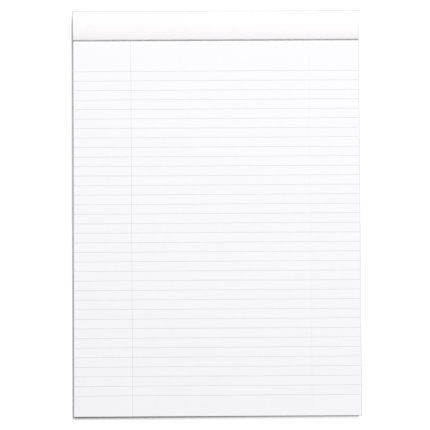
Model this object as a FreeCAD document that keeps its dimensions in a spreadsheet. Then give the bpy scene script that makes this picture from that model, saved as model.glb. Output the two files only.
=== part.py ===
import FreeCAD, Part
import math
import os

import Sketcher

# A head-stapled A4 writing pad with its card cover folded right back behind it.
# X runs across the pad, +Y to its head and +Z up, from the table under its middle.

DRIVING_SIZES = [
    ("page_width", 210, "width of the sheets, the board and the cover"),
    ("sheet_length", 296, "head to foot of the sheets, the board and the back"),
    ("sheet_count", 80, "ruled sheets in the block"),
    ("sheet_thickness", 0.1, "one sheet"),
    ("board_thickness", 1, "grey board behind the sheets"),
    ("card_thickness", 0.35, "cover card"),
    ("band_length", 21.1, "head of the pad to the fold of the cover"),
    ("band_radius", 80, "gentle arch of the cover over the staples"),
    ("fold_radius", 0.45, "inside of the cover's fold at the foot of the band"),
    ("corner_radius", 0.6, "inside of the cover's bend over the head"),
    ("wrap_gap", 0.3, "between the two layers of card at the head"),
    ("cover_gap", 0.6, "between the back and the cover folded under it"),
    ("crease_gap", 0.3, "between the card at the head and the cover's rounded edge"),
    ("staple_spacing", 105, "middle to middle of the two staples"),
    ("staple_setback", 9, "staples to the head of the sheets"),
    ("crown_length", 13, "leg to leg of a staple"),
    ("tip_gap", 3, "between the bent-over tips of a staple"),
    ("wire_diameter", 0.5, "staple wire"),
    ("wire_bend", 0.25, "inside of the wire's bends"),
    ("wire_sink", 0.2, "depth that the wire is pressed into the card"),
    ("wire_clearance", 0.05, "room round the wire in what it pierces"),
]

# Heights above the table, from the folded-back cover up to the fold of the band.
BACK_BOTTOM = "(sizes.card_thickness + sizes.cover_gap)"
BOARD_BOTTOM = f"({BACK_BOTTOM} + sizes.card_thickness)"
SHEETS_BOTTOM = f"({BOARD_BOTTOM} + sizes.board_thickness)"
BLOCK_THICKNESS = "(sizes.sheet_count * sizes.sheet_thickness)"
SHEETS_TOP = f"({SHEETS_BOTTOM} + {BLOCK_THICKNESS})"
STRIP_TOP = f"({SHEETS_TOP} + sizes.card_thickness)"
FOLD_HEIGHT = f"({STRIP_TOP} + sizes.fold_radius)"

# Places along the pad, measured from the foot.
PAD_LENGTH = "(sizes.sheet_length + 2 * sizes.card_thickness + sizes.wrap_gap)"
FOLD_OUTSIDE = "(sizes.fold_radius + sizes.card_thickness)"
FOLD_PLACE = f"({PAD_LENGTH} - sizes.band_length + {FOLD_OUTSIDE})"
CORNER_OUTSIDE = "(sizes.corner_radius + sizes.card_thickness)"
CORNER_PLACE = f"({PAD_LENGTH} - {CORNER_OUTSIDE})"
STAPLE_PLACE = "(sizes.sheet_length - sizes.staple_setback)"

# The middle of the staples' wire, across a staple and above the table.
LEG_PLACE = "(sizes.crown_length / 2)"
WIRE_RADIUS = "(sizes.wire_diameter / 2)"
WIRE_BEND = f"(sizes.wire_bend + {WIRE_RADIUS})"
CROWN_HEIGHT = f"({STRIP_TOP} - sizes.wire_sink + {WIRE_RADIUS})"
CLINCH_HEIGHT = f"({BACK_BOTTOM} + sizes.wire_sink - {WIRE_RADIUS})"

# The cover turns about the middle of its card, below the outer layer at the head.
HINGE_HEIGHT = "(sizes.card_thickness / 2)"
HINGE_PLACE = f"({PAD_LENGTH} - sizes.card_thickness / 2)"
WRAP_END = "(sizes.card_thickness + sizes.crease_gap)"

# The cover is as long as the sheets. The strip, the band and the head take up the rest.
COVER_LENGTH = f"(sizes.sheet_length - 2 * sizes.band_length - {STRIP_TOP})"

# Where the drawings' own origin, at the foot, lies from the middle of the pad.
FOOT = f"(-{PAD_LENGTH} / 2)"

START, END, CENTRE = 1, 2, 3
ORIGIN = (-1, START)
ALONG_PAD = FreeCAD.Rotation(FreeCAD.Vector(1, 1, 1), 120)

doc = FreeCAD.newDocument("writing_pad")
sheet = doc.addObject("Spreadsheet::Sheet", "sizes")
for row, (alias, value, meaning) in enumerate(DRIVING_SIZES, start=1):
    sheet.set(f"A{row}", meaning)
    sheet.set(f"B{row}", str(value))
    sheet.setAlias(f"B{row}", alias)
doc.recompute()


def number(formula):
    """Return what a formula over the sheet comes to."""
    return float(sheet.evalExpression(formula))


def point(across, up):
    """Return a point of a sketch."""
    return FreeCAD.Vector(across, up, 0)


def arc(centre, radius, start, end):
    """Return an arc that runs anticlockwise between two angles in degrees."""
    circle = Part.Circle(centre, FreeCAD.Vector(0, 0, 1), radius)
    return Part.ArcOfCircle(circle, math.radians(start), math.radians(end))


def bind(sketch, kind, where, formula):
    """Add a dimension to a sketch and tie it to the sheet."""
    index = sketch.addConstraint(Sketcher.Constraint(kind, *where, number(formula)))
    sketch.setExpression(f"Constraints[{index}]", formula)


def locate(sketch, geometry, end, across=None, up=None):
    """Tie a point of a sketch to its place from the sketch's origin."""
    if across:
        bind(sketch, "DistanceX", (*ORIGIN, geometry, end), across)
    if up:
        bind(sketch, "DistanceY", (*ORIGIN, geometry, end), up)


def join(sketch, kind, first, first_end, second, second_end):
    """Make two ends of a sketch meet, either at a corner or smoothly."""
    sketch.addConstraint(Sketcher.Constraint(kind, first, first_end, second, second_end))


def level(sketch, *lines):
    """Keep lines of a sketch parallel to its first axis."""
    for line in lines:
        sketch.addConstraint(Sketcher.Constraint("Horizontal", line))


def upright(sketch, *lines):
    """Keep lines of a sketch parallel to its second axis."""
    for line in lines:
        sketch.addConstraint(Sketcher.Constraint("Vertical", line))


def body_sketch(body, name, role):
    """Start a sketch on one of a body's own planes."""
    plane = [item for item in body.Origin.OriginFeatures if item.Role == role][0]
    sketch = body.newObject("Sketcher::SketchObject", name)
    sketch.AttachmentSupport = [(plane, "")]
    sketch.MapMode = "FlatFace"
    return sketch


def slab(name, bottom, thickness):
    """Make a flat block of the sheets' width and length."""
    block = doc.addObject("Part::Box", name)
    block.setExpression("Length", "sizes.page_width")
    block.setExpression("Width", "sizes.sheet_length")
    block.setExpression("Height", thickness)
    block.setExpression(".Placement.Base.x", "-sizes.page_width / 2")
    block.setExpression(".Placement.Base.y", FOOT)
    block.setExpression(".Placement.Base.z", bottom)
    return block


def wire_path(body, tip_place):
    """Draw the middle of a staple's wire, from tip to tip of its bent-over ends."""
    sketch = body_sketch(body, "wire_path", "XZ_Plane")
    leg = number(LEG_PLACE)
    bend = number(WIRE_BEND)
    tip = number(tip_place)
    low = number(CLINCH_HEIGHT)
    high = number(CROWN_HEIGHT)
    left_tip = sketch.addGeometry(Part.LineSegment(point(-tip, low), point(bend - leg, low)))
    left_foot = sketch.addGeometry(arc(point(bend - leg, low + bend), bend, 180, 270))
    left_leg = sketch.addGeometry(Part.LineSegment(point(-leg, low + bend), point(-leg, high - bend)))
    left_top = sketch.addGeometry(arc(point(bend - leg, high - bend), bend, 90, 180))
    crown = sketch.addGeometry(Part.LineSegment(point(bend - leg, high), point(leg - bend, high)))
    right_top = sketch.addGeometry(arc(point(leg - bend, high - bend), bend, 0, 90))
    right_leg = sketch.addGeometry(Part.LineSegment(point(leg, high - bend), point(leg, low + bend)))
    right_foot = sketch.addGeometry(arc(point(leg - bend, low + bend), bend, 270, 360))
    right_tip = sketch.addGeometry(Part.LineSegment(point(leg - bend, low), point(tip, low)))
    join(sketch, "Tangent", left_tip, END, left_foot, END)
    join(sketch, "Tangent", left_foot, START, left_leg, START)
    join(sketch, "Tangent", left_leg, END, left_top, END)
    join(sketch, "Tangent", left_top, START, crown, START)
    join(sketch, "Tangent", crown, END, right_top, END)
    join(sketch, "Tangent", right_top, START, right_leg, START)
    join(sketch, "Tangent", right_leg, END, right_foot, END)
    join(sketch, "Tangent", right_foot, START, right_tip, START)
    level(sketch, left_tip, crown, right_tip)
    upright(sketch, left_leg, right_leg)
    for bend_arc in (left_foot, left_top, right_top, right_foot):
        bind(sketch, "Radius", (bend_arc,), WIRE_BEND)
    locate(sketch, left_leg, START, across=f"-{LEG_PLACE}")
    locate(sketch, right_leg, START, across=LEG_PLACE)
    locate(sketch, crown, START, up=CROWN_HEIGHT)
    locate(sketch, left_tip, START, f"-{tip_place}", CLINCH_HEIGHT)
    locate(sketch, right_tip, END, tip_place, CLINCH_HEIGHT)
    return sketch


def staple(name, side, slack="0"):
    """Sweep a round wire through the pad; slack makes the room that it needs."""
    tip_place = f"(sizes.tip_gap / 2 - {slack})"
    body = doc.addObject("PartDesign::Body", name)
    path = wire_path(body, tip_place)
    profile = body_sketch(body, "wire_section", "YZ_Plane")
    profile.setExpression(".AttachmentOffset.Base.z", f"-{tip_place}")
    radius = f"({WIRE_RADIUS} + {slack})"
    middle = point(0, number(CLINCH_HEIGHT))
    circle = Part.Circle(middle, FreeCAD.Vector(0, 0, 1), number(radius))
    ring = profile.addGeometry(circle)
    bind(profile, "Radius", (ring,), radius)
    locate(profile, ring, CENTRE, up=CLINCH_HEIGHT)
    profile.addConstraint(Sketcher.Constraint("PointOnObject", ring, CENTRE, -2))
    sweep = body.newObject("PartDesign::AdditivePipe", "wire")
    sweep.Profile = profile
    sweep.Spine = path
    body.setExpression(".Placement.Base.x", f"{side} * sizes.staple_spacing / 2")
    body.setExpression(".Placement.Base.y", f"{FOOT} + {STAPLE_PLACE}")
    return body


def cover_fold_line():
    """Draw the face of the card that lies on the pad, round the back, head and strip.

    From the fold at the foot of the band, it becomes the outside of the band and head.
    """
    sketch = doc.addObject("Sketcher::SketchObject", "cover_fold_line")
    sketch.Placement.Rotation = ALONG_PAD
    sketch.setExpression(".Placement.Base.y", FOOT)
    head = number("sizes.sheet_length")
    bottom = number(BOARD_BOTTOM)
    top = number(SHEETS_TOP)
    height = number(FOLD_HEIGHT)
    fold = point(number(FOLD_PLACE), height)
    corner = point(number(CORNER_PLACE), height)
    fold_outside = number(FOLD_OUTSIDE)
    corner_outside = number(CORNER_OUTSIDE)
    radius = number("sizes.band_radius")
    half = (corner.x - fold.x) / 2
    drop = math.sqrt((radius - fold_outside) ** 2 - half ** 2)
    slope = math.degrees(math.atan2(half, drop))
    outside = number(PAD_LENGTH)
    back = sketch.addGeometry(Part.LineSegment(point(0, bottom), point(head, bottom)))
    head_wall = sketch.addGeometry(Part.LineSegment(point(head, bottom), point(head, top)))
    strip = sketch.addGeometry(Part.LineSegment(point(head, top), point(fold.x, top)))
    hairpin = sketch.addGeometry(arc(fold, fold_outside, 90 + slope, 270))
    band_centre = point(fold.x + half, height - drop)
    band = sketch.addGeometry(arc(band_centre, radius, 90 - slope, 90 + slope))
    bend = sketch.addGeometry(arc(corner, corner_outside, 0, 90 - slope))
    wall_end = point(outside, number(WRAP_END))
    outer_wall = sketch.addGeometry(Part.LineSegment(point(outside, height), wall_end))
    join(sketch, "Coincident", back, END, head_wall, START)
    join(sketch, "Coincident", head_wall, END, strip, START)
    join(sketch, "Tangent", strip, END, hairpin, END)
    join(sketch, "Tangent", hairpin, START, band, END)
    join(sketch, "Tangent", band, START, bend, END)
    join(sketch, "Tangent", bend, START, outer_wall, START)
    level(sketch, back, strip)
    upright(sketch, head_wall, outer_wall)
    locate(sketch, back, END, "sizes.sheet_length", BOARD_BOTTOM)
    sketch.addConstraint(Sketcher.Constraint("PointOnObject", back, START, -2))
    locate(sketch, strip, START, up=SHEETS_TOP)
    locate(sketch, hairpin, CENTRE, across=FOLD_PLACE)
    bind(sketch, "Radius", (hairpin,), FOLD_OUTSIDE)
    bind(sketch, "Radius", (band,), "sizes.band_radius")
    bind(sketch, "Radius", (bend,), CORNER_OUTSIDE)
    locate(sketch, bend, CENTRE, up=FOLD_HEIGHT)
    locate(sketch, outer_wall, END, PAD_LENGTH, WRAP_END)
    return sketch


def folded_card():
    """Thicken the fold line and draw it out to the width of the pad."""
    section = doc.addObject("Part::Offset2D", "card_section")
    section.Source = cover_fold_line()
    section.setExpression("Value", "sizes.card_thickness")
    section.Mode = "Skin"
    section.Join = "Arc"
    section.Fill = True
    card = doc.addObject("Part::Extrusion", "folded_card")
    card.Base = section
    card.DirMode = "Custom"
    card.Dir = FreeCAD.Vector(1, 0, 0)
    card.Symmetric = True
    card.Solid = True
    card.setExpression("LengthFwd", "sizes.page_width")
    return card


def front_cover():
    """Make the cover's free panel, rounded at the head about the line that it turns on."""
    body = doc.addObject("PartDesign::Body", "front_cover")
    sketch = body_sketch(body, "panel_section", "YZ_Plane")
    radius = number(HINGE_HEIGHT)
    length = number(COVER_LENGTH)
    under = sketch.addGeometry(Part.LineSegment(point(-length, -radius), point(0, -radius)))
    edge = sketch.addGeometry(arc(point(0, 0), radius, -90, 90))
    upper = sketch.addGeometry(Part.LineSegment(point(0, radius), point(-length, radius)))
    end = sketch.addGeometry(Part.LineSegment(point(-length, radius), point(-length, -radius)))
    join(sketch, "Tangent", under, END, edge, START)
    join(sketch, "Tangent", edge, END, upper, START)
    join(sketch, "Coincident", upper, END, end, START)
    join(sketch, "Coincident", end, END, under, START)
    join(sketch, "Coincident", edge, CENTRE, *ORIGIN)
    level(sketch, under, upper)
    upright(sketch, end)
    bind(sketch, "Radius", (edge,), HINGE_HEIGHT)
    bind(sketch, "DistanceX", (end, START, *ORIGIN), COVER_LENGTH)
    pad = body.newObject("PartDesign::Pad", "panel")
    pad.Profile = sketch
    pad.SideType = "Symmetric"
    pad.setExpression("Length", "sizes.page_width")
    body.setExpression(".Placement.Base.y", f"{FOOT} + {HINGE_PLACE}")
    body.setExpression(".Placement.Base.z", HINGE_HEIGHT)
    return body


def pierced(name, solid, tool):
    """Clear the staples' wire out of what it runs through."""
    piece = doc.addObject("Part::Cut", name)
    piece.Base = solid
    piece.Tool = tool
    return piece


SIDES = {"left": -1, "right": 1}
rooms = [staple(f"room_{side}", sign, "sizes.wire_clearance") for side, sign in SIDES.items()]
staple_room = doc.addObject("Part::Compound", "staple_room")
staple_room.Links = rooms

pieces = [
    pierced("page_block", slab("sheets", SHEETS_BOTTOM, BLOCK_THICKNESS), staple_room),
    pierced("backing_board", slab("board", BOARD_BOTTOM, "sizes.board_thickness"), staple_room),
    pierced("cover_wrap", folded_card(), staple_room),
    front_cover(),
]
pieces += [staple(f"staple_{side}", sign) for side, sign in SIDES.items()]
doc.recompute()

for item in doc.Objects:
    if "Invalid" in item.State or "Error" in item.State:
        raise RuntimeError(f"{item.Name} failed: {item.State}")

os.makedirs("parts", exist_ok=True)
for piece in pieces:
    shape = piece.Shape
    if shape.isNull() or not shape.isValid() or len(shape.Solids) != 1:
        raise RuntimeError(f"{piece.Name} is not one sound solid")
    piece.Label = piece.Name
    shape.exportStep(f"parts/{piece.Label}.step")
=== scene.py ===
import math
import random

import bmesh
import bpy
from mathutils import Matrix, Quaternion, Vector, noise


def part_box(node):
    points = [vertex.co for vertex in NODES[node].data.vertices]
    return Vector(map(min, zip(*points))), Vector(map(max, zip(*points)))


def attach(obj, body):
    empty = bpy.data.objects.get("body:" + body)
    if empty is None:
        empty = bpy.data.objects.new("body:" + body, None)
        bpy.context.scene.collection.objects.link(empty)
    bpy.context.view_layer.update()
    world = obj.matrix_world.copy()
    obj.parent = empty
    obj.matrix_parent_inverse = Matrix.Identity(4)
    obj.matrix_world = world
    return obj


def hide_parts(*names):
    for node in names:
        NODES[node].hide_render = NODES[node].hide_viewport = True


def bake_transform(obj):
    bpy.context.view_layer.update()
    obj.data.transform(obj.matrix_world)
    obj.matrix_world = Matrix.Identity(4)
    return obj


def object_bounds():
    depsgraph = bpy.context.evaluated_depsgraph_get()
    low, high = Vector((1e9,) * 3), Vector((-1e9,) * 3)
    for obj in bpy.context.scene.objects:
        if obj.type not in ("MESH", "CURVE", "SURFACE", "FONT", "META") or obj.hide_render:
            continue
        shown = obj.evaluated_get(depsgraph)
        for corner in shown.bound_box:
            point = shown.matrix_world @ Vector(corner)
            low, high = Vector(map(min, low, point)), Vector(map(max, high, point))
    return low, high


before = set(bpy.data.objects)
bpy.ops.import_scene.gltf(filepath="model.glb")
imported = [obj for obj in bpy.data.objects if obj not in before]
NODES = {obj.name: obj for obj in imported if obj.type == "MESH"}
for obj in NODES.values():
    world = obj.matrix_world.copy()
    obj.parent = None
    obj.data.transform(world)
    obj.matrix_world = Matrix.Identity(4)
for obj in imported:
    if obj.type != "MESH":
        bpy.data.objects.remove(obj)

# A head-stapled A4 writing pad with its card cover folded right back behind it.
# Lengths are in metres. X runs across the pad, +Y to its head and +Z up.

MM = 0.001
CAD_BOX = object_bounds()

# Points of a mesh that lie closer than this are one point
MERGE_DISTANCE = 0.001 * MM

# Sheets, which are trimmed a hair unevenly, but not at the bound head
SHEET_COUNT = 80
TRIM_WANDER = 0.04 * MM
TRIM_JITTER = 0.03 * MM
WANDER_ALONG = 30
WANDER_UP = 400
WANDER_APART = 9
EDGE_STEPS = 14
OUTWARD = [Vector((0, -1)), Vector((1, 0)), Vector((0, 0)), Vector((-1, 0))]
PAGE, TRIM = range(2)

# Ruling, from the head of the pad and from the sheet's two long edges
RULE_COUNT = 35
RULE_PITCH = 7 * MM
FIRST_RULE = 43.9 * MM
RULE_WIDTH = 0.2 * MM
MARGIN_WIDTH = 0.176 * MM
MARGIN_INSET = 42.5 * MM
REVERSE_MARGIN_INSET = 36.25 * MM
RULE_SKEW = 0.0008
MARGIN_SKEW = 0.002
INK_HEIGHT = 0.015 * MM

# Cover card, at the middle of its thickness
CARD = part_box("front_cover")[1].z
BAND_LENGTH = 21.1 * MM
BAND_RADIUS = 80 * MM - CARD / 2
FOLD_RADIUS = 0.45 * MM + CARD / 2
CORNER_RADIUS = 0.6 * MM + CARD / 2
CREASE_RADIUS = 0.2 * MM + CARD / 2
CREASE_TOP = 0.9 * MM
CARD_COLUMNS = 56
CARD_FACE, CARD_CUT, CREASED, PANEL = range(4)
SHARP_ANGLE = math.radians(40)

# The band's spring off its even arch, and the slow waves in it
BAND_SPRING = 0.06 * MM
SPRING_AT_ENDS = 5.0
SPRING_SHARPNESS = 2.5
SPRING_REACH = 0.15
BAND_WAVE = 0.12 * MM
WAVES = Vector((2.3, 0.3))
WAVE_SEED = 3.1

# Colours. The cover's white has a trace of pink in it, and the paper's a trace of blue.
PAPER_WHITE = (0.940, 0.936, 0.964)
TRIM_WHITE = (0.93, 0.925, 0.935)
RULE_GREY = (0.56, 0.57, 0.57)
SHOW_THROUGH = (0.84, 0.84, 0.86)
CARD_WHITE = (0.938, 0.915, 0.926)
CARD_CUT_WHITE = (0.90, 0.88, 0.885)
# Painted shade: the panel under the pad is a darker copy of the cover's white
PANEL_PAINTED_SHADE = 0.935
BOARD_GREY = (0.40, 0.385, 0.36)
STEEL = (0.60, 0.60, 0.61)

# How much the surfaces reflect
PAPER_GLOSS = 0.15
CARD_GLOSS = 0.2
STEEL_GLOSS = 0.5

# Camera
CAMERA_PLACE = Vector((-6.7, -30.3, 1000)) * MM
CAMERA_AIM = Vector((-1.3, -1.5, 10.3)) * MM
CAMERA_ROLL = math.radians(-0.31)
LENS = 112.9
SENSOR = 36
CLIP_START = 0.01

# Lamps
KEY_PLACE = Vector((520, 1640, 3040)) * MM
KEY_AIM = Vector((0, 0, 0)) * MM
KEY_SIZE = 1290 * MM
KEY_POWER = 109.0
SKY_LEVEL = 0.25

# Table top, which glows a little for the camera, but not in a band beside the pad: there its own grey
# shows as a painted shade line, with the pad's cast shadow in it.
# Each side has its direction, and the distance from the pad's outline at which the glow starts, which
# sets how wide the painted shade line is on that side.
TABLE_SIZE = 4
TABLE_SHADE = 0.6
TABLE_GLOW = 0.8
GLOW_WIDTH = 2.75 * MM
GLOW_SIDES = {"right": (1, 0), "left": (-1, 0), "head": (0, 1), "foot": (0.0035, -1)}
GLOW_STARTS = {"right": 0.58 * MM, "left": 1.05 * MM, "head": 1.77 * MM, "foot": 1.02 * MM}


def add_node(tree, kind, **settings):
    """Add a node to a tree, and set its inputs and its properties by name."""
    node = tree.nodes.new(kind)
    for key, value in settings.items():
        if key in node.inputs:
            node.inputs[key].default_value = value
        else:
            setattr(node, key, value)
    return node


def link(tree, source, output, target, entry):
    """Join two nodes of a tree."""
    tree.links.new(source.outputs[output], target.inputs[entry])


def calculate(tree, operation, first, second):
    """Combine two sockets or numbers in a tree, and return the result's socket."""
    node = add_node(tree, "ShaderNodeMath", operation=operation)
    for entry, value in zip(node.inputs, (first, second)):
        if isinstance(value, (int, float)):
            entry.default_value = value
        else:
            tree.links.new(value, entry)
    return node.outputs[0]


def shade(colour, level):
    """Return a colour at a share of its brightness."""
    return tuple(level * part for part in colour)


def material(name, colour, roughness, gloss):
    """Start a material, and return it with its node tree and its shader."""
    made = bpy.data.materials.new(name)
    made.use_nodes = True
    made.diffuse_color = (*colour, 1)
    shader = made.node_tree.nodes["Principled BSDF"]
    shader.inputs["Base Color"].default_value = (*colour, 1)
    shader.inputs["Roughness"].default_value = roughness
    shader.inputs["Specular IOR Level"].default_value = gloss
    return made, made.node_tree, shader


def grain(tree, scale, detail, stretch):
    """Noise in object space, so that it stays on the piece; scale is in grains per metre."""
    place = add_node(tree, "ShaderNodeTexCoord")
    shape = add_node(tree, "ShaderNodeMapping", Scale=stretch)
    field = add_node(tree, "ShaderNodeTexNoise", Scale=scale, Detail=detail)
    link(tree, place, "Object", shape, "Vector")
    link(tree, shape, "Vector", field, "Vector")
    return field


def mottle(tree, shader, colour, dark, light=1, spread=0.2, scale=1, detail=3, stretch=(1, 1, 1)):
    """Vary a colour between two shares of its brightness, over a spread of the noise's levels."""
    ramp = add_node(tree, "ShaderNodeValToRGB")
    low, high = ramp.color_ramp.elements
    low.position, low.color = 0.5 - spread, (*shade(colour, dark), 1)
    high.position, high.color = 0.5 + spread, (*shade(colour, light), 1)
    link(tree, grain(tree, scale, detail, stretch), "Fac", ramp, "Fac")
    link(tree, ramp, "Color", shader, "Base Color")


def roughen(tree, shader, strength, depth, scale=1, detail=2, stretch=(1, 1, 1)):
    """Raise the surface a little where the noise is high."""
    bump = add_node(tree, "ShaderNodeBump", Strength=strength, Distance=depth)
    link(tree, grain(tree, scale, detail, stretch), "Fac", bump, "Height")
    link(tree, bump, "Normal", shader, "Normal")


def paper_face():
    """Uncoated white writing paper: faintly blue, cloudy, with a fine tooth."""
    made, tree, shader = material("paper_face", PAPER_WHITE, roughness=0.9, gloss=PAPER_GLOSS)
    mottle(tree, shader, PAPER_WHITE, dark=0.992, scale=260, detail=4)
    roughen(tree, shader, strength=0.12, depth=0.02 * MM, scale=3200)
    return made


def paper_edge():
    """The trimmed edges of the sheets: fine streaks that run along the block."""
    made, tree, shader = material("paper_edge", TRIM_WHITE, roughness=0.95, gloss=PAPER_GLOSS)
    mottle(tree, shader, TRIM_WHITE, dark=0.82, spread=0.15, detail=5, stretch=(40, 40, 1500))
    roughen(tree, shader, strength=0.35, depth=0.03 * MM, stretch=(500, 500, 11000))
    return made


def ink(name, colour):
    """A thin printed line, very slightly broken by the paper's tooth."""
    made, tree, shader = material(name, colour, roughness=0.8, gloss=PAPER_GLOSS)
    mottle(tree, shader, colour, dark=0.95, light=1.05, scale=900, detail=2)
    return made


def cover_card(name, white):
    """Smooth white card with a trace of pink and a soft gloss."""
    made, tree, shader = material(name, white, roughness=0.5, gloss=CARD_GLOSS)
    mottle(tree, shader, white, dark=0.99, scale=140)
    roughen(tree, shader, strength=0.08, depth=0.02 * MM, scale=1400, detail=3)
    return made


def creased_card_painted_shade():
    """The card's bends: darker than its faces, partly where its smooth face is strained and shows a
    little grey fibre, partly painted shade for the dark lines at the fold and the head.
    """
    made, tree, shader = material("creased_card_painted_shade", CARD_WHITE, roughness=0.75, gloss=CARD_GLOSS)
    # Painted shade in part: the bends are mottled down to 0.955 of the card's white
    mottle(tree, shader, CARD_WHITE, dark=0.955, spread=0.15, detail=4, stretch=(900, 2600, 2600))
    roughen(tree, shader, strength=0.25, depth=0.02 * MM, scale=4200, detail=3)
    return made


def card_edge():
    """The card's cut edges: a shade darker than its faces, with its plies showing as streaks."""
    made, tree, shader = material("card_edge", CARD_CUT_WHITE, roughness=0.9, gloss=PAPER_GLOSS)
    mottle(tree, shader, CARD_CUT_WHITE, dark=0.86, scale=5200)
    roughen(tree, shader, strength=0.3, depth=0.02 * MM, scale=6000)
    return made


def grey_board():
    """Grey board of recycled fibre, flecked light and dark."""
    made, tree, shader = material("grey_board", BOARD_GREY, roughness=0.95, gloss=PAPER_GLOSS)
    mottle(tree, shader, BOARD_GREY, dark=0.62, light=1.25, spread=0.16, scale=2200, detail=6)
    roughen(tree, shader, strength=0.5, depth=0.05 * MM, scale=2600, detail=4)
    return made


def staple_wire():
    """Drawn steel wire, bright and slightly mottled."""
    made, tree, shader = material("staple_wire", STEEL, roughness=0.32, gloss=STEEL_GLOSS)
    shader.inputs["Metallic"].default_value = 1.0
    mottle(tree, shader, STEEL, dark=0.8, scale=1500)
    roughen(tree, shader, strength=0.1, depth=0.01 * MM, scale=9000)
    return made


def mesh_piece(name, shape, *materials):
    """Turn a bmesh into an object of the scene."""
    bmesh.ops.recalc_face_normals(shape, faces=shape.faces)
    mesh = bpy.data.meshes.new(name)
    shape.to_mesh(mesh)
    shape.free()
    for made in materials:
        mesh.materials.append(made)
    piece = bpy.data.objects.new(name, mesh)
    bpy.context.scene.collection.objects.link(piece)
    return piece


def add_face(shape, corners, look=0):
    """Add a face to a mesh, with the number of its material."""
    face = shape.faces.new(corners)
    face.material_index = look


def outline_steps(low, high):
    """Return the side, the step along it and the place of each point round a sheet."""
    corners = [Vector(pair) for pair in ((low.x, low.y), (high.x, low.y), high.xy, (low.x, high.y))]
    steps = []
    for side, start in enumerate(corners):
        end = corners[(side + 1) % len(corners)]
        steps += [(side, step, start.lerp(end, step / EDGE_STEPS)) for step in range(EDGE_STEPS)]
    return steps


def trimmed_outline(low, high, bottom, index):
    """Return the points round one sheet, with its small faults of trimming."""
    rng = random.Random(index)
    slips = [rng.uniform(0, TRIM_JITTER) for _ in OUTWARD]
    points = []
    for side, step, place in outline_steps(low, high):
        inset = slips[side] if place.y < high.y else 0
        if step:
            change = bottom * WANDER_UP + side * WANDER_APART
            inset += TRIM_WANDER * abs(noise.noise(Vector((*place * WANDER_ALONG, change))))
        points.append(place - OUTWARD[side] * inset)
    return points


def page_block():
    """The stack of sheets: every sheet's edge is there, and the top one is trimmed true."""
    low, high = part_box("page_block")
    thickness = (high.z - low.z) / SHEET_COUNT
    shape = bmesh.new()
    rings = []
    for index in range(SHEET_COUNT):
        bottom = low.z + index * thickness
        outline = trimmed_outline(low, high, bottom, index)
        if index == SHEET_COUNT - 1:
            outline = [place for _, _, place in outline_steps(low, high)]
        for height in (bottom, bottom + thickness):
            rings.append([shape.verts.new((*place, height)) for place in outline])
    for lower, upper in zip(rings, rings[1:]):
        for here in range(len(lower)):
            there = (here + 1) % len(lower)
            add_face(shape, (lower[here], lower[there], upper[there], upper[here]), TRIM)
    add_face(shape, rings[0][::-1], PAGE)
    add_face(shape, rings[-1], PAGE)
    bmesh.ops.remove_doubles(shape, verts=shape.verts, dist=MERGE_DISTANCE)
    piece = mesh_piece("sheets", shape, paper_face(), paper_edge())
    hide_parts("page_block")
    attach(piece, "pad")


def print_line(shape, start, end, width, level):
    """Add one printed line to a mesh, as a film that stands just proud of the paper."""
    start, end = Vector(start), Vector(end)
    side = (end - start).orthogonal().normalized() * (width / 2)
    corners = [start - side, end - side, end + side, start + side]
    under = [shape.verts.new((x, y, level - INK_HEIGHT)) for x, y in corners]
    over = [shape.verts.new((x, y, level + INK_HEIGHT)) for x, y in corners]
    add_face(shape, under[::-1])
    add_face(shape, over)
    for here in range(len(corners)):
        there = (here + 1) % len(corners)
        add_face(shape, (under[here], under[there], over[there], over[here]))


def print_upright(shape, x, foot, high):
    """Add a line that runs from the foot to the head of the sheet."""
    start = (x - MARGIN_SKEW * foot, foot)
    end = (x - MARGIN_SKEW * high.y, high.y)
    print_line(shape, start, end, MARGIN_WIDTH, high.z)


def ruling():
    """Print the top sheet: rules from edge to edge, the margin line and the reverse's margin.

    The print sits a hair askew on the sheet, and no two lines overlap.
    """
    low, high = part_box("page_block")
    half = MARGIN_WIDTH / 2
    margin = low.x + MARGIN_INSET
    reverse = high.x - REVERSE_MARGIN_INSET
    shape = bmesh.new()
    for index in range(RULE_COUNT):
        y = CAD_BOX[1].y - FIRST_RULE - index * RULE_PITCH
        stops = [low.x, high.x]
        stops += [line - MARGIN_SKEW * y + side for line in (margin, reverse) for side in (-half, half)]
        stops.sort()
        for start, end in zip(stops[::2], stops[1::2]):
            left, right = (start, y + RULE_SKEW * start), (end, y + RULE_SKEW * end)
            print_line(shape, left, right, RULE_WIDTH, high.z)
    print_upright(shape, margin, low.y, high)
    printed = mesh_piece("ruling", shape, ink("rule_ink", RULE_GREY))
    shape = bmesh.new()
    print_upright(shape, reverse, low.y, high)
    faint = mesh_piece("reverse_margin", shape, ink("show_through", SHOW_THROUGH))
    for piece in (printed, faint):
        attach(piece, "pad")


class CardPath:
    """The middle line of the card, walked from the foot of the back to the cover's free edge.

    Each point has its place and heading, and each step from point to point has its look.
    """

    def __init__(self, y, z):
        self.place = Vector((y, z))
        self.heading = 0
        self.points = [(self.place, self.heading)]
        self.looks = []

    def step_to(self, place, heading, look):
        """Go on to a point."""
        self.place = place
        self.points.append((place, heading))
        self.looks.append(look)

    def run(self, length, steps, look=CARD_FACE):
        """Go straight on."""
        step = Vector((math.cos(self.heading), math.sin(self.heading))) * (length / steps)
        for _ in range(steps):
            self.step_to(self.place + step, self.heading, look)

    def bend_to(self, heading, radius, steps, look=CREASED):
        """Turn to a new heading on an arc."""
        start = self.heading
        turn = heading - start
        reach = radius * math.copysign(1, turn)
        centre = self.place + Vector((-math.sin(start), math.cos(start))) * reach
        for step in range(1, steps + 1):
            angle = start + turn * step / steps
            self.step_to(centre + Vector((math.sin(angle), -math.cos(angle))) * reach, angle, look)
        self.heading = heading


def band_slopes(span):
    """Return the band's slope at its fold and at its head, for an arc between two bends."""
    near = BAND_RADIUS - FOLD_RADIUS
    far = BAND_RADIUS - CORNER_RADIUS
    along = (near ** 2 - far ** 2 + span ** 2) / (2 * span)
    drop = math.sqrt(near ** 2 - along ** 2)
    return math.atan2(along, drop), math.atan2(span - along, drop)


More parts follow.
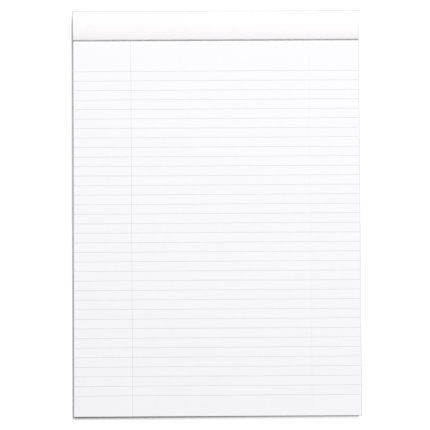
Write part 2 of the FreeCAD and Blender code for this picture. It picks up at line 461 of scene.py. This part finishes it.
def card_path(fold, corner):
    """Walk the card round the back, the head and the strip, and back over them.

    Fold and corner are where the band's two end bends have their middles. The points of the
    band's arch come back with the path.
    """
    wrap_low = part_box("cover_wrap")[0]
    block_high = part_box("page_block")[1]
    board_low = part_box("backing_board")[0]
    cover_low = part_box("front_cover")[0]
    half = CARD / 2
    fold_height = block_high.z + half + FOLD_RADIUS
    fold_slope, head_slope = band_slopes(corner - fold)

    path = CardPath(wrap_low.y, board_low.z - half)
    path.run(block_high.y - wrap_low.y, 12)
    path.bend_to(math.pi / 2, half, 4)
    path.run(block_high.z - board_low.z, 2)
    path.bend_to(math.pi, half, 4)
    path.run(block_high.y - fold, 8)
    path.bend_to(fold_slope, FOLD_RADIUS, 14)
    band_start = len(path.points)
    path.bend_to(-head_slope, BAND_RADIUS, 30, CARD_FACE)
    band = range(band_start, len(path.points))
    path.bend_to(-math.pi / 2, CORNER_RADIUS, 8)
    path.run(fold_height - CREASE_TOP, 6)
    path.run(CREASE_TOP - half - CREASE_RADIUS, 3)
    path.bend_to(-math.pi, CREASE_RADIUS, 8)
    path.run(path.place.x - cover_low.y, 14, PANEL)
    return path, band


def band_lift(across, along):
    """How far the band stands off its even arch: it springs up from the fold, most at its ends.

    Across runs from -1 to 1 over the pad's width, and along from 0 at the fold to 1 at the head.
    """
    along = min(max(along, 0), 1)
    spring = BAND_SPRING * (1 + SPRING_AT_ENDS * abs(across) ** SPRING_SHARPNESS)
    rise = (1 - math.exp(-along / SPRING_REACH)) * (1 - along)
    wander = noise.noise(Vector((across * WAVES.x, along * WAVES.y, WAVE_SEED)))
    return spring * rise + BAND_WAVE * wander * math.sin(math.pi * along)


def folded_cover():
    """The cover, one card from the foot of the back to the free edge folded under the pad.

    The panel under the pad is a darker copy of the cover's white: painted shade, so that it stands
    apart from the white table when it lies open in full light.
    """
    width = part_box("cover_wrap")[1].x
    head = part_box("cover_wrap")[1].y
    fold = head - BAND_LENGTH + CARD / 2 + FOLD_RADIUS
    corner = head - CARD / 2 - CORNER_RADIUS
    path, band = card_path(fold, corner)
    shape = bmesh.new()
    columns = []
    for column in range(CARD_COLUMNS + 1):
        x = -width + 2 * width * column / CARD_COLUMNS
        inner, outer = [], []
        for index, (place, heading) in enumerate(path.points):
            lift = 0
            if index in band:
                lift = band_lift(x / width, (place.x - fold) / (corner - fold))
            normal = Vector((-math.sin(heading), math.cos(heading))) * (CARD / 2)
            inner.append(shape.verts.new((x, place.x + normal.x, place.y + normal.y + lift)))
            outer.append(shape.verts.new((x, place.x - normal.x, place.y - normal.y + lift)))
        columns.append((inner, outer))
    for (inner, outer), (next_inner, next_outer) in zip(columns, columns[1:]):
        for here, look in enumerate(path.looks):
            there = here + 1
            add_face(shape, (inner[here], inner[there], next_inner[there], next_inner[here]), look)
            add_face(shape, (outer[here], next_outer[here], next_outer[there], outer[there]), look)
        for end in (0, -1):
            add_face(shape, (inner[end], next_inner[end], next_outer[end], outer[end]), CARD_CUT)
    for inner, outer in (columns[0], columns[-1]):
        for here in range(len(path.looks)):
            there = here + 1
            add_face(shape, (inner[here], outer[here], outer[there], inner[there]), CARD_CUT)
    bmesh.ops.remove_doubles(shape, verts=shape.verts, dist=MERGE_DISTANCE)
    plain = cover_card("cover_card", CARD_WHITE)
    # Painted shade: the panel gets a darker copy of the cover's white
    panel = cover_card("cover_panel_painted_shade", shade(CARD_WHITE, PANEL_PAINTED_SHADE))
    piece = mesh_piece("folded_cover", shape, plain, card_edge(), creased_card_painted_shade(), panel)
    piece.data.set_sharp_from_angle(angle=SHARP_ANGLE)
    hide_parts("cover_wrap", "front_cover")
    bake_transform(piece)


def dress(node, made):
    """Give a node of the frame its material."""
    mesh = NODES[node].data
    mesh.materials.clear()
    mesh.materials.append(made)


def seen_by_eye(tree):
    """Return a socket that is 1 for the camera's rays, straight, mirrored or through glass."""
    path = add_node(tree, "ShaderNodeLightPath")
    total = path.outputs["Is Camera Ray"]
    for kind in ("Is Glossy Ray", "Is Transmission Ray"):
        total = calculate(tree, "MAXIMUM", total, path.outputs[kind])
    return total


def distance_mask(tree):
    """Return the table's glow, which grows with the distance from the pad's outline; where it is low,
    beside the pad, the table is painted shade.
    """
    place = add_node(tree, "ShaderNodeTexCoord")
    beyond = -1
    for side, direction in GLOW_SIDES.items():
        along = add_node(tree, "ShaderNodeVectorMath", operation="DOT_PRODUCT")
        along.inputs[1].default_value = (*direction, 0)
        link(tree, place, "Object", along, 0)
        edge = CAD_BOX[1].x if side in ("left", "right") else CAD_BOX[1].y
        distance = calculate(tree, "SUBTRACT", along.outputs["Value"], edge + GLOW_STARTS[side])
        beyond = calculate(tree, "MAXIMUM", beyond, distance)
    ramp = add_node(tree, "ShaderNodeMapRange", interpolation_type="SMOOTHSTEP")
    ramp.inputs["From Max"].default_value = GLOW_WIDTH
    ramp.inputs["To Max"].default_value = TABLE_GLOW
    tree.links.new(beyond, ramp.inputs["Value"])
    return ramp.outputs["Result"]


def floor():
    """A white table top, which keeps the pad's shadow, with a painted shade line round the pad where it
    does not glow.
    """
    shape = bmesh.new()
    bmesh.ops.create_grid(shape, x_segments=1, y_segments=1, size=TABLE_SIZE)
    made, tree, shader = material("table_white", (TABLE_SHADE,) * 3, roughness=1.0, gloss=0.0)
    glow = calculate(tree, "MULTIPLY", seen_by_eye(tree), distance_mask(tree))
    tree.links.new(glow, shader.inputs["Emission Strength"])
    shader.inputs["Emission Color"].default_value = (1, 1, 1, 1)
    mesh_piece("table", shape, made)


def sky():
    """Even white light from all round."""
    world = bpy.data.worlds.new("studio")
    bpy.context.scene.world = world
    world.use_nodes = True
    tree = world.node_tree
    background = tree.nodes["Background"]
    background.inputs["Color"].default_value = (1, 1, 1, 1)
    level = add_node(tree, "ShaderNodeMapRange")
    level.inputs["To Min"].default_value = SKY_LEVEL
    tree.links.new(seen_by_eye(tree), level.inputs["Value"])
    link(tree, level, "Result", background, "Strength")


def key_lamp():
    """A soft box high over the head of the pad, a little to the right."""
    lamp = bpy.data.lights.new("soft_box", "AREA")
    lamp.shape = "SQUARE"
    lamp.size = KEY_SIZE
    lamp.energy = KEY_POWER
    holder = bpy.data.objects.new("soft_box", lamp)
    holder.location = KEY_PLACE
    holder.rotation_euler = (KEY_AIM - KEY_PLACE).to_track_quat("-Z", "Y").to_euler()
    bpy.context.scene.collection.objects.link(holder)


def camera():
    """Look almost straight down on the pad, with its head at the top of the picture."""
    lens = bpy.data.cameras.new("camera")
    lens.lens = LENS
    lens.sensor_width = SENSOR
    lens.clip_start = CLIP_START
    holder = bpy.data.objects.new("camera", lens)
    holder.rotation_mode = "QUATERNION"
    holder.location = CAMERA_PLACE
    back = (CAMERA_PLACE - CAMERA_AIM).normalized()
    right = Vector((0, 1, 0)).cross(back).normalized()
    turn = Matrix((right, back.cross(right), back)).transposed().to_quaternion()
    holder.rotation_quaternion = turn @ Quaternion((0, 0, 1), CAMERA_ROLL)
    bpy.context.scene.collection.objects.link(holder)
    bpy.context.scene.camera = holder


page_block()
ruling()
folded_cover()
dress("backing_board", grey_board())
steel = staple_wire()
for side in ("left", "right"):
    dress(f"staple_{side}", steel)

floor()
sky()
key_lamp()
camera()
bpy.context.scene.view_settings.view_transform = "Standard"
